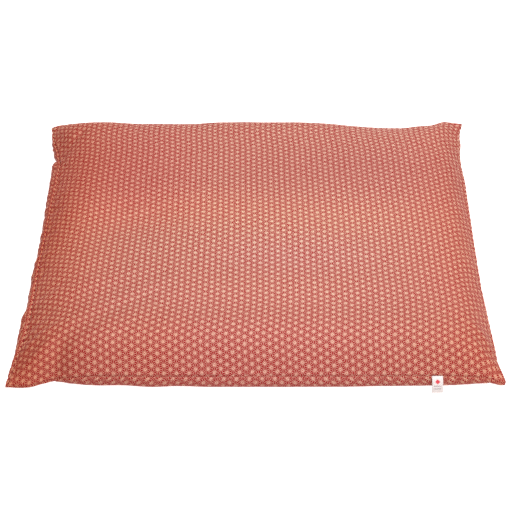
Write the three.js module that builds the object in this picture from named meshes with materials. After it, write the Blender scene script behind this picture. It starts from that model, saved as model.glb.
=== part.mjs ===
// A floor cushion: a knife-edge cover of two panels, filled, lying flat, with a folded tape label
// caught in the near seam. Millimetres, +Z up, +X to the right and +Y away from the label's side.
// The origin is the centre of the footprint, on the surface that the cushion lies on.
import * as THREE from 'three';

// The four corners of the seam.
const CORNERS = {
  nearLeft: { x: -400, y: -370, up: 9 },
  nearRight: { x: 400, y: -368, up: 12 },
  farLeft: { x: -395, y: 383, up: 23 },
  farRight: { x: 398, y: 369, up: 43 },
};

// One row for each place along a side of the seam, in millimetres. at: distance from the side's
// left or near corner. inset: how far the seam is drawn in from the line between its corners.
// up: height of the seam. belly: how far the lower panel stands out past the seam. tuck: distance
// from the seam back to where the cushion rests.
const NEAR_SIDE = [
  { at: 0, inset: 0, up: 9, belly: 0, tuck: 46 },
  { at: 32, inset: -2, up: 9, belly: 0, tuck: 44 },
  { at: 54, inset: 4, up: 11, belly: 0, tuck: 40 },
  { at: 77, inset: 13, up: 14, belly: 0, tuck: 34 },
  { at: 102, inset: 7, up: 22, belly: 1, tuck: 27 },
  { at: 137, inset: 3, up: 28, belly: 2, tuck: 22 },
  { at: 242, inset: 2, up: 29, belly: 3, tuck: 20 },
  { at: 400, inset: 2, up: 29, belly: 3, tuck: 20 },
  { at: 562, inset: 2, up: 29, belly: 3, tuck: 20 },
  { at: 692, inset: 2, up: 28, belly: 3, tuck: 21 },
  { at: 742, inset: 3, up: 25, belly: 2, tuck: 26 },
  { at: 774, inset: 4, up: 20, belly: 0, tuck: 34 },
  { at: 800, inset: 0, up: 12, belly: 0, tuck: 46 },
];
const FAR_SIDE = [
  { at: 0, inset: 0, up: 23, belly: 0, tuck: 46 },
  { at: 26, inset: 0, up: 26, belly: 0, tuck: 40 },
  { at: 60, inset: 3, up: 28, belly: 1, tuck: 28 },
  { at: 150, inset: 5, up: 27, belly: 2, tuck: 22 },
  { at: 400, inset: 3, up: 27, belly: 2, tuck: 20 },
  { at: 560, inset: 2, up: 26, belly: 2, tuck: 20 },
  { at: 640, inset: 9, up: 25, belly: 2, tuck: 22 },
  { at: 700, inset: 6, up: 28, belly: 1, tuck: 26 },
  { at: 752, inset: -3, up: 40, belly: 0, tuck: 38 },
  { at: 793, inset: 0, up: 43, belly: 0, tuck: 46 },
];
const LEFT_SIDE = [
  { at: 0, inset: 0, up: 9, belly: 0, tuck: 46 },
  { at: 30, inset: 6, up: 16, belly: 3, tuck: 40 },
  { at: 72, inset: 15, up: 26, belly: 9, tuck: 28 },
  { at: 130, inset: 22, up: 31, belly: 16, tuck: 22 },
  { at: 168, inset: 23, up: 32, belly: 17, tuck: 22 },
  { at: 192, inset: 23, up: 32, belly: 12, tuck: 22 },
  { at: 272, inset: 23, up: 32, belly: 13, tuck: 22 },
  { at: 330, inset: 24, up: 31, belly: 11, tuck: 22 },
  { at: 400, inset: 25, up: 31, belly: 12, tuck: 22 },
  { at: 480, inset: 26, up: 31, belly: 14, tuck: 22 },
  { at: 570, inset: 28, up: 30, belly: 18, tuck: 22 },
  { at: 614, inset: 28, up: 28, belly: 17, tuck: 24 },
  { at: 636, inset: 24, up: 22, belly: 8, tuck: 28 },
  { at: 664, inset: 18, up: 23, belly: 8, tuck: 30 },
  { at: 704, inset: 7, up: 23, belly: 4, tuck: 36 },
  { at: 753, inset: 0, up: 23, belly: 0, tuck: 46 },
];
const RIGHT_SIDE = [
  { at: 0, inset: 0, up: 12, belly: 0, tuck: 46 },
  { at: 30, inset: 7, up: 20, belly: 0, tuck: 36 },
  { at: 68, inset: 11, up: 25, belly: 1, tuck: 27 },
  { at: 128, inset: 14, up: 28, belly: 2, tuck: 22 },
  { at: 238, inset: 17, up: 28, belly: 2, tuck: 20 },
  { at: 368, inset: 16, up: 28, belly: 2, tuck: 20 },
  { at: 468, inset: 14, up: 28, belly: 2, tuck: 20 },
  { at: 548, inset: 13, up: 28, belly: 2, tuck: 20 },
  { at: 612, inset: 14, up: 29, belly: 1, tuck: 22 },
  { at: 650, inset: 12, up: 30, belly: 1, tuck: 26 },
  { at: 682, inset: 6, up: 33, belly: 0, tuck: 32 },
  { at: 708, inset: 7, up: 37, belly: 0, tuck: 38 },
  { at: 737, inset: 0, up: 43, belly: 0, tuck: 46 },
];

// The filled height over the middle, how much it falls from the near side to the far one for each
// millimetre, and how much it is lower at the left and right sides.
const CROWN = 73.5;
const CROWN_FALL = 0.008;
const SIDE_DROP = 4;

// The width of the rounded slope from the seam up to the crown, on each side.
const ROLL = { near: 100, far: 84, left: 136, right: 104 };

// Soft ridges and troughs of the upper panel: a row for each fold, from one end to the other, with
// its half width and its height, below zero for a trough.
const FOLDS = [
  { x1: -240, y1: -292, x2: 240, y2: -284, width: 44, height: 3 },
  { x1: -120, y1: -16, x2: 140, y2: -22, width: 52, height: 2 },
  { x1: -330, y1: -330, x2: -300, y2: -290, width: 66, height: -5 },
  { x1: -280, y1: -40, x2: -220, y2: 40, width: 84, height: -6 },
  { x1: -220, y1: 40, x2: -290, y2: 250, width: 84, height: -6 },
  { x1: 20, y1: 20, x2: 110, y2: 170, width: 80, height: 3 },
  { x1: 200, y1: 120, x2: 260, y2: 210, width: 80, height: 3.5 },
  { x1: -214, y1: 334, x2: -124, y2: 336, width: 42, height: -5 },
  { x1: -376, y1: 262, x2: -330, y2: 312, width: 9, height: -7 },
  { x1: -374, y1: -262, x2: -346, y2: -240, width: 13, height: -6 },
  { x1: -374, y1: -175, x2: -330, y2: -168, width: 12, height: -4 },
  { x1: -374, y1: 10, x2: -340, y2: 18, width: 12, height: -3 },
  { x1: -320, y1: -362, x2: -316, y2: -318, width: 16, height: -5 },
  { x1: 190, y1: 330, x2: 300, y2: 322, width: 52, height: -8 },
];

// The label: its size, its place along the near side, and the line that it hangs on, from the
// seam to its folded end, as distance out from the seam and height.
const LABEL_WIDTH = 17.6;
const LABEL_THICKNESS = 1.2;
const LABEL_X = 289;
const LABEL_LINE = [
  { out: 1.1, up: 29 },
  { out: 4.6, up: 21.5 },
  { out: 7.6, up: 12.5 },
  { out: 10.6, up: 3.4 },
];
const LABEL_STEPS = 10;

// The lower panel's edge: how far along the curve from the seam the belly stands out most, and how
// high the curve's first handle stands, as shares of the whole.
const BELLY_SHARE = 0.4;
const HANDLE_HEIGHT = 0.75;

// How finely the surface is divided: cells across and along the upper panel, rings of the lower
// panel's edge, and how much closer the cells stand at the sides than in the middle.
const CELLS_X = 56;
const CELLS_Y = 52;
const LOWER_RINGS = 6;
const EDGE_CROWDING = 0.55;

// Where the footprint's centre lies between the corners.
const CENTRE = { x: -0.4, y: 3 };

const CLOTH = new THREE.MeshStandardMaterial({ color: 0xc4604f, roughness: 0.9, metalness: 0 });
const SATIN = new THREE.MeshStandardMaterial({ color: 0xf3f1f0, roughness: 0.45, metalness: 0 });

// The columns of a side's table at one distance along it, on a smooth curve through its rows.
function sideAt(rows, at) {
  const place = THREE.MathUtils.clamp(at, 0, rows[rows.length - 1].at);
  const i = Math.max(0, rows.findIndex((row) => row.at >= place) - 1);
  const start = rows[i];
  const end = rows[i + 1];
  const span = end.at - start.at;
  const t = (place - start.at) / span;
  const slope = (row, column) => {
    const before = rows[Math.max(0, row - 1)];
    const after = rows[Math.min(rows.length - 1, row + 1)];
    return (after[column] - before[column]) / (after.at - before.at);
  };
  const curve = (column) => {
    const leave = slope(i, column) * span;
    const arrive = slope(i + 1, column) * span;
    const rise = end[column] - start[column];
    const bend = t * t * (3 - 2 * t);
    return start[column] + rise * bend + leave * t * (1 - t) ** 2 + arrive * t * t * (t - 1);
  };
  return { inset: curve('inset'), up: curve('up'), belly: curve('belly'), tuck: curve('tuck') };
}

// A point of the seam on a side, at the share of the way from one corner to the other.
function seamPoint(rows, from, to, inward, share) {
  const row = sideAt(rows, share * rows[rows.length - 1].at);
  const point = new THREE.Vector3(
    THREE.MathUtils.lerp(from.x, to.x, share) + inward.x * row.inset,
    THREE.MathUtils.lerp(from.y, to.y, share) + inward.y * row.inset,
    row.up,
  );
  return { point, row };
}

const SIDES = {
  near: (share) => seamPoint(NEAR_SIDE, CORNERS.nearLeft, CORNERS.nearRight, { x: 0, y: 1 }, share),
  far: (share) => seamPoint(FAR_SIDE, CORNERS.farLeft, CORNERS.farRight, { x: 0, y: -1 }, share),
  left: (share) => seamPoint(LEFT_SIDE, CORNERS.nearLeft, CORNERS.farLeft, { x: 1, y: 0 }, share),
  right: (share) => seamPoint(RIGHT_SIDE, CORNERS.nearRight, CORNERS.farRight, { x: -1, y: 0 }, share),
};

const cornerPoint = (corner) => new THREE.Vector3(corner.x, corner.y, corner.up);

// The skin that the four sides of the seam span. s runs from left to right and t from near to
// far, from 0 to 1, and a little past that for what stands out past the seam.
function seamSkin(s, t) {
  const point = new THREE.Vector3();
  point.addScaledVector(SIDES.near(s).point, 1 - t);
  point.addScaledVector(SIDES.far(s).point, t);
  point.addScaledVector(SIDES.left(t).point, 1 - s);
  point.addScaledVector(SIDES.right(t).point, s);
  point.addScaledVector(cornerPoint(CORNERS.nearLeft), -(1 - s) * (1 - t));
  point.addScaledVector(cornerPoint(CORNERS.nearRight), -s * (1 - t));
  point.addScaledVector(cornerPoint(CORNERS.farLeft), -(1 - s) * t);
  point.addScaledVector(cornerPoint(CORNERS.farRight), -s * t);
  return point;
}

// The rounded slope from 0 at the seam to 1 on the crown.
function roll(distance, width) {
  const rest = Math.max(0, 1 - distance / width);
  return 1 - rest ** 3;
}

// What the soft ridges and troughs add to the height at a place on the upper panel.
function foldHeight(x, y) {
  let height = 0;
  for (const fold of FOLDS) {
    const dx = fold.x2 - fold.x1;
    const dy = fold.y2 - fold.y1;
    const along = ((x - fold.x1) * dx + (y - fold.y1) * dy) / (dx * dx + dy * dy);
    const share = THREE.MathUtils.clamp(along, 0, 1);
    const away = Math.hypot(x - fold.x1 - share * dx, y - fold.y1 - share * dy);
    height += fold.height * Math.exp(-((away / fold.width) ** 2));
  }
  return height;
}

// A point of the upper panel.
function upperPoint(s, t) {
  const point = seamSkin(s, t);
  const width = CORNERS.nearRight.x - CORNERS.nearLeft.x;
  const depth = CORNERS.farLeft.y - CORNERS.nearLeft.y;
  const slope = roll(s * width, ROLL.left) * roll((1 - s) * width, ROLL.right)
    * roll(t * depth, ROLL.near) * roll((1 - t) * depth, ROLL.far);
  const crown = CROWN - CROWN_FALL * point.y - SIDE_DROP * (2 * s - 1) ** 2;
  point.z += (crown + foldHeight(point.x, point.y) - point.z) * slope;
  return point;
}

// The places of the cells' corners from one side to the other, closer together at the sides.
function spread(cells) {
  const shares = [];
  for (let i = 0; i <= cells; i += 1) {
    const even = (2 * i) / cells - 1;
    const crowded = Math.sin((even * Math.PI) / 2);
    shares.push((1 + THREE.MathUtils.lerp(even, crowded, EDGE_CROWDING)) / 2);
  }
  return shares;
}

// The places round the rim, counterclockwise from the near left corner, with their sides.
function rimPlaces(across, along) {
  const places = [];
  for (let i = 0; i < CELLS_X; i += 1) {
    places.push({ s: across[i], t: 0, i, j: 0 });
  }
  for (let j = 0; j < CELLS_Y; j += 1) {
    places.push({ s: 1, t: along[j], i: CELLS_X, j });
  }
  for (let i = CELLS_X; i > 0; i -= 1) {
    places.push({ s: across[i], t: 1, i, j: CELLS_Y });
  }
  for (let j = CELLS_Y; j > 0; j -= 1) {
    places.push({ s: 0, t: along[j], i: 0, j });
  }
  return places;
}

// The table columns at a place on the rim.
function rimRow(place) {
  if (place.t === 0) return SIDES.near(place.s).row;
  if (place.s === 1) return SIDES.right(place.t).row;
  if (place.t === 1) return SIDES.far(place.s).row;
  return SIDES.left(place.t).row;
}

// A point of the lower panel's edge, on a curve that leaves the seam almost straight down, stands
// out by the belly and comes in flat to where the cushion rests. share is 0 at the seam, 1 there.
function lowerPoint(place, share) {
  const row = rimRow(place);
  const rest = 1 - share;
  const fullest = row.belly + row.tuck * BELLY_SHARE ** 3;
  const reach = row.belly > 0 ? fullest / (3 * BELLY_SHARE * (1 - BELLY_SHARE)) : 0;
  const out = 3 * reach * share * rest - row.tuck * share ** 3;
  const half = (CORNERS.nearRight.x - CORNERS.nearLeft.x) / 2;
  const grown = 1 + out / half;
  const point = seamSkin((1 + (2 * place.s - 1) * grown) / 2, (1 + (2 * place.t - 1) * grown) / 2);
  point.z = row.up * (rest ** 3 + 3 * HANDLE_HEIGHT * share * rest ** 2);
  return point;
}

function cushionGeometry() {
  const across = spread(CELLS_X);
  const along = spread(CELLS_Y);
  const points = [];
  const faces = [];
  const upper = (i, j) => j * (CELLS_X + 1) + i;
  for (const t of along) {
    points.push(...across.map((s) => upperPoint(s, t)));
  }
  for (let j = 0; j < CELLS_Y; j += 1) {
    for (let i = 0; i < CELLS_X; i += 1) {
      const [a, b, c, d] = [upper(i, j), upper(i + 1, j), upper(i + 1, j + 1), upper(i, j + 1)];
      faces.push([a, b, c], [a, c, d]);
    }
  }
  const places = rimPlaces(across, along);
  let ring = places.map((place) => upper(place.i, place.j));
  for (let k = 1; k <= LOWER_RINGS; k += 1) {
    const next = places.map((place) => points.push(lowerPoint(place, k / LOWER_RINGS)) - 1);
    ring.forEach((from, n) => {
      const m = (n + 1) % ring.length;
      faces.push([from, next[n], next[m]], [from, next[m], ring[m]]);
    });
    ring = next;
  }
  for (const index of ring) points[index].z = 0;
  const outline = ring.map((index) => new THREE.Vector2(points[index].x, points[index].y));
  for (const [a, b, c] of THREE.ShapeUtils.triangulateShape(outline, [])) {
    faces.push([ring[a], ring[c], ring[b]]);
  }
  return closedGeometry(points, faces);
}

function closedGeometry(points, faces) {
  const geometry = new THREE.BufferGeometry();
  const numbers = points.flatMap((point) => point.toArray());
  geometry.setAttribute('position', new THREE.Float32BufferAttribute(numbers, 3));
  geometry.setIndex(faces.flat());
  geometry.computeVertexNormals();
  return geometry;
}

// The folded tape, as one strip along its hanging line.
function labelGeometry() {
  const width = CORNERS.nearRight.x - CORNERS.nearLeft.x;
  const seam = SIDES.near((LABEL_X - CORNERS.nearLeft.x) / width).point;
  const line = new THREE.SplineCurve(LABEL_LINE.map((p) => new THREE.Vector2(seam.y - p.out, p.up)));
  const near = [];
  const back = [];
  for (let n = 0; n <= LABEL_STEPS; n += 1) {
    const middle = line.getPoint(n / LABEL_STEPS);
    const along = line.getTangent(n / LABEL_STEPS).multiplyScalar(LABEL_THICKNESS / 2);
    near.push(new THREE.Vector2(middle.x + along.y, middle.y - along.x));
    back.push(new THREE.Vector2(middle.x - along.y, middle.y + along.x));
  }
  const section = new THREE.Shape([...near, ...back.reverse()]);
  const geometry = new THREE.ExtrudeGeometry(section, { depth: LABEL_WIDTH, bevelEnabled: false });
  const turned = new THREE.Matrix4().makeBasis(
    new THREE.Vector3(0, 1, 0), new THREE.Vector3(0, 0, 1), new THREE.Vector3(1, 0, 0),
  );
  geometry.applyMatrix4(turned);
  geometry.translate(LABEL_X - LABEL_WIDTH / 2, 0, 0);
  return geometry;
}

function namedMesh(name, geometry, material) {
  const mesh = new THREE.Mesh(geometry, material);
  mesh.name = name;
  mesh.position.set(-CENTRE.x, -CENTRE.y, 0);
  return mesh;
}

const zabuton = new THREE.Group();
zabuton.add(namedMesh('cushion', cushionGeometry(), CLOTH));
zabuton.add(namedMesh('label', labelGeometry(), SATIN));

export default zabuton;
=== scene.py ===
"""Dresses a floor cushion's solids: printed cotton, a sewn seam and a folded tape label."""

import logging
import math
from dataclasses import dataclass, field
from enum import Enum
from typing import Any, Sequence

import bpy
import numpy as np
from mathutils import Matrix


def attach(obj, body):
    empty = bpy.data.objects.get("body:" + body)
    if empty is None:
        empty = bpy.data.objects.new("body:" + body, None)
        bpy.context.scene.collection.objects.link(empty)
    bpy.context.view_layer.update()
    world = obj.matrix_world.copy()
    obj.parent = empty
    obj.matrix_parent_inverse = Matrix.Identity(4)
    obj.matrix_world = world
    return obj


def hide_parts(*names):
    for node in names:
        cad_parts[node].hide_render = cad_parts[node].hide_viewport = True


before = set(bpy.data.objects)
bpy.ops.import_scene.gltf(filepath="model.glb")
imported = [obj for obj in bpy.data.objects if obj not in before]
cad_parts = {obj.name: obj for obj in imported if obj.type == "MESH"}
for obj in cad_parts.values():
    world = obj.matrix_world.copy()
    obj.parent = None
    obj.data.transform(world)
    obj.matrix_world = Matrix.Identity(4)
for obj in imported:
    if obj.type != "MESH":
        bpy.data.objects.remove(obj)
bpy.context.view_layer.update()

BODY = "root"
MM = 0.001
TURN = 2 * math.pi
CLOTH_MAP = "cloth"
TINY = 1e-9
SRGB_KNEE, SRGB_SLOPE = 0.04045, 12.92
SRGB_OFFSET, SRGB_SCALE, SRGB_POWER = 0.055, 1.055, 2.4
LOG = logging.getLogger("floor cushion")

Colour = Point = tuple[float, float, float]
Pair = tuple[float, float]
Cell = tuple[int, int]
Face = tuple[int, ...]


class Panel(Enum):
    """The cover's two panels."""

    UPPER = "upper"
    LOWER = "lower"


def tint(code: str) -> Colour:
    """Turns a colour's code into linear light.

    Args:
        code: Two hexadecimal figures each for red, green and blue.

    Returns:
        The colour's three parts.
    """
    parts = [int(code[n : n + 2], 16) / 255 for n in (0, 2, 4)]
    bright = [((p + SRGB_OFFSET) / SRGB_SCALE) ** SRGB_POWER for p in parts]
    return tuple(p / SRGB_SLOPE if p <= SRGB_KNEE else b for p, b in zip(parts, bright))


def ease(value: np.ndarray, start: float, end: float) -> np.ndarray:
    """A smooth step of value, from 0 at start to 1 at end."""
    share = np.clip((value - start) / (end - start), 0.0, 1.0)
    return share * share * (3.0 - 2.0 * share)


def run_along(line: np.ndarray) -> np.ndarray:
    """How far along a line of points each one lies."""
    return np.concatenate([[0.0], np.cumsum(np.linalg.norm(np.diff(line, axis=0), axis=1))])


def walk(*stops: Cell) -> list[Cell]:
    """Walks over a grid in straight lines.

    Args:
        *stops: The cells where the walk starts, turns and ends.

    Returns:
        Every cell on the way, with both ends.
    """
    cells = [stops[0]]
    for (i, j), (k, m) in zip(stops, stops[1:]):
        steps = max(abs(k - i), abs(m - j))
        cells += [(i + (k - i) * n // steps, j + (m - j) * n // steps) for n in range(1, steps + 1)]
    return cells


def put(name: str, data: bpy.types.ID) -> bpy.types.Object:
    """Puts a new object into the scene.

    Args:
        name: The object's name.
        data: Its mesh, light or camera.

    Returns:
        The object.
    """
    made = bpy.data.objects.new(name, data)
    bpy.context.collection.objects.link(made)
    return made


def shape(
    name: str, points: np.ndarray, faces: Sequence[Face], edges: Sequence[Face] = ()
) -> bpy.types.Mesh:
    """Makes a mesh.

    Args:
        name: The mesh's name.
        points: Its points, in millimetres.
        faces: Its faces, as points' numbers.
        edges: Edges beside those of the faces.

    Returns:
        The mesh, in metres.
    """
    mesh = bpy.data.meshes.new(name)
    mesh.from_pydata((points * MM).tolist(), edges, faces)
    return mesh


def lay_map(
    mesh: bpy.types.Mesh, places: np.ndarray, moved: np.ndarray | float = 0.0, scale: float = 1.0
) -> None:
    """Gives a mesh its cloth map.

    Args:
        mesh: The mesh.
        places: Each point's place on the cloth.
        moved: How far the corners of the faces lie from there, for all of them or for each one.
        scale: What all that is multiplied by.
    """
    corner = np.zeros(len(mesh.loops), np.int32)
    mesh.loops.foreach_get("vertex_index", corner)
    layer = mesh.uv_layers.new(name=CLOTH_MAP)
    on_map = (places[corner] + moved) * scale
    layer.data.foreach_set("uv", on_map.astype(np.float32).ravel())


# Shader trees


class Signal:
    """A number or colour on its way through a shader tree. Python's operators add Math nodes."""

    def __init__(self, loom: "Loom", socket: bpy.types.NodeSocket) -> None:
        """Wraps a socket of the loom's tree."""
        self.loom, self.socket = loom, socket

    def _join(self, operation: str, first: Any, second: Any = None) -> "Signal":
        """A Math node on one or two values."""
        values = [first] if second is None else [first, second]
        return self.loom.node("ShaderNodeMath", {"operation": operation}, dict(enumerate(values)))

    def __add__(self, other: Any) -> "Signal":
        """The sum."""
        return self._join("ADD", self, other)

    def __sub__(self, other: Any) -> "Signal":
        """The difference."""
        return self._join("SUBTRACT", self, other)

    def __rsub__(self, other: Any) -> "Signal":
        """The difference from another value."""
        return self._join("SUBTRACT", other, self)

    def __mul__(self, other: Any) -> "Signal":
        """The product."""
        return self._join("MULTIPLY", self, other)

    def __truediv__(self, other: Any) -> "Signal":
        """The quotient."""
        return self._join("DIVIDE", self, other)

    __radd__, __rmul__ = __add__, __mul__

    def call(self, operation: str, other: Any = None) -> "Signal":
        """Any other Math operation on this value, and on another where it takes two."""
        return self._join(operation, self, other)

    def wrap(self, period: float) -> "Signal":
        """The offset from the nearest whole multiple of a period."""
        return self - (self / period).call("ROUND") * period

    def wave(self, turns: float) -> "Signal":
        """A sine wave with this many turns for each 1 of the value."""
        return (self * (TURN * turns)).call("SINE")

    def step(self, start: Any, end: Any) -> "Signal":
        """A smooth step from 0 at start to 1 at end."""
        sockets = {"Value": self, "From Min": start, "From Max": end}
        return self.loom.node("ShaderNodeMapRange", {"interpolation_type": "SMOOTHSTEP"}, sockets)


class Loom:
    """A material's shader tree, and the one method that adds nodes to it."""

    def __init__(self, name: str) -> None:
        """Starts a material with an empty tree.

        Args:
            name: The material's name.
        """
        self.material = bpy.data.materials.new(name)
        self.material.use_nodes = True
        self.tree = self.material.node_tree
        self.tree.nodes.clear()

    def node(
        self, kind: str, settings: dict[str, Any], sockets: dict[Any, Any], out: Any = 0
    ) -> Signal:
        """Adds a node.

        Args:
            kind: The node's type.
            settings: Its properties, which are set before its sockets.
            sockets: Values or Signals by the socket's name or number.
            out: The name or number of the output that is wanted.

        Returns:
            The output as a Signal.
        """
        node = self.tree.nodes.new(kind)
        for key, value in settings.items():
            setattr(node, key, value)
        for key, value in sockets.items():
            self.feed(node.inputs[key], value)
        return Signal(self, node.outputs[out])

    def feed(self, socket: bpy.types.NodeSocket, value: Any) -> None:
        """Links a Signal to a socket, or sets the socket's own value.

        Args:
            socket: The socket.
            value: The Signal, number, vector or colour for it.
        """
        if isinstance(value, Signal):
            self.tree.links.new(value.socket, socket)
        elif isinstance(value, tuple) and socket.type == "RGBA":
            socket.default_value = (*value, 1.0)
        else:
            socket.default_value = value

    def mix(self, first: Any, second: Any, share: Any, blend: str = "MIX") -> Signal:
        """Two colours mixed by a share."""
        settings = {"data_type": "RGBA", "blend_type": blend, "clamp_factor": True}
        return self.node("ShaderNodeMix", settings, {0: share, 6: first, 7: second}, 2)

    def parts(self, vector: Signal) -> tuple[Signal, Signal]:
        """The first two parts of a vector."""
        x = self.node("ShaderNodeSeparateXYZ", {}, {0: vector}, 0)
        return x, Signal(self, x.socket.node.outputs[1])

    def cloth(self) -> Signal:
        """The place on the piece's cloth map."""
        return self.node("ShaderNodeUVMap", {"uv_map": CLOTH_MAP}, {})

    def bump(self, height: Signal, strength: float, depth: float) -> Signal:
        """The normal over a relief that is at most so many millimetres deep."""
        sockets = {"Strength": strength, "Distance": depth * MM, "Height": height}
        return self.node("ShaderNodeBump", {}, sockets)

    def shader(self, **sockets: Any) -> bpy.types.Material:
        """Ends the tree in a Principled shader.

        Args:
            **sockets: Its sockets' values or Signals, with _ for each space in a socket's name.

        Returns:
            The finished material.
        """
        named = {key.replace("_", " "): value for key, value in sockets.items()}
        surface = self.node("ShaderNodeBsdfPrincipled", {}, named)
        output = self.tree.nodes.new("ShaderNodeOutputMaterial")
        self.tree.links.new(surface.socket, output.inputs["Surface"])
        return self.material


# Finishes


@dataclass(frozen=True)
class HempLeafPrint:
    """The hemp leaf repeat: stars on a three-way lattice, in columns that run along the cloth.

    Each star has six lines to its neighbours and six to the middles of the triangles between them.

    Args:
        column: Millimetres from one column to the next.
        star: Millimetres from star to star in a column.
        rays: How many lines a star has.
        line: The lines' width, as a share of the distance between stars, as the next ones are.
        taper: What the width is multiplied by at the star's middle and at the lines' far ends.
        softness: The width of the lines' soft edges.
        eye: The size of the bare spot in the star's middle.
        eye_edge: Where the spot's soft edge starts and ends, as shares of its size.
        shift: Where a star's middle lies on the print, in millimetres.
    """

    column: float = 10.0
    star: float = 12.9
    rays: int = 12
    line: float = 0.036
    taper: Pair = (1.45, 0.72)
    softness: float = 0.02
    eye: float = 0.07
    eye_edge: Pair = (0.6, 1.4)
    shift: Pair = (0.0, 0.0)

    def cover(self, u: Signal, v: Signal) -> Signal:
        """How much of the pale lines shows at a place on the cloth.

        Args:
            u: Millimetres across the cloth.
            v: Millimetres along it.

        Returns:
            1 on the lines and 0 on the ground.
        """
        wide = math.sqrt(3.0)
        x = (u - self.shift[0]) * (wide / 2 / self.column)
        y = (v - self.shift[1]) * (1 / self.star)
        ax, ay = x.wrap(wide), y.wrap(1.0)
        bx, by = (x - wide / 2).wrap(wide), (y - 0.5).wrap(1.0)
        a, b = ax * ax + ay * ay, bx * bx + by * by
        nearer = a.call("LESS_THAN", b)
        px, py = ax * nearer + bx * (1 - nearer), ay * nearer + by * (1 - nearer)
        radius = (px * px + py * py).call("SQRT")
        turn = py.call("ARCTAN2", px).wrap(TURN / self.rays).call("ABSOLUTE")
        away = radius * turn.call("SINE")
        first, last = (self.line / 2 * share for share in self.taper)
        half = radius * ((last - first) * wide) + first
        lines = 1 - away.step(half - self.softness / 2, half + self.softness / 2)
        return lines * radius.step(*(self.eye * share for share in self.eye_edge))


@dataclass(frozen=True)
class PaintedLightPatch:
    """A soft-edged oval of the cloth, seen from above, where light and shade are painted into the
    colour.

    Args:
        x: Its middle, in metres to the right of the cushion's.
        y: Its middle, in metres away from the label.
        across: Half its width.
        along: Half its depth.
        tone: What the cloth's colour is multiplied by in its middle: below 1 it paints shade, above
            1 it paints light.
    """

    x: float
    y: float
    across: float
    along: float
    tone: Colour

    def paint_light_and_shade(self, loom: Loom, colour: Signal, x: Signal, y: Signal) -> Signal:
        """Paints the oval's shade and light into the colour.

        Args:
            loom: The cloth's tree.
            colour: The cloth's colour without the patch.
            x: Metres to the right.
            y: Metres away from the label.

        Returns:
            The colour with the patch on it.
        """
        right, far = (x - self.x) * (1 / self.across), (y - self.y) * (1 / self.along)
        inside = 1 - (right * right + far * far).call("SQRT").step(0.0, 1.0)
        return loom.mix(colour, self.tone, inside, "MULTIPLY")


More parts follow.
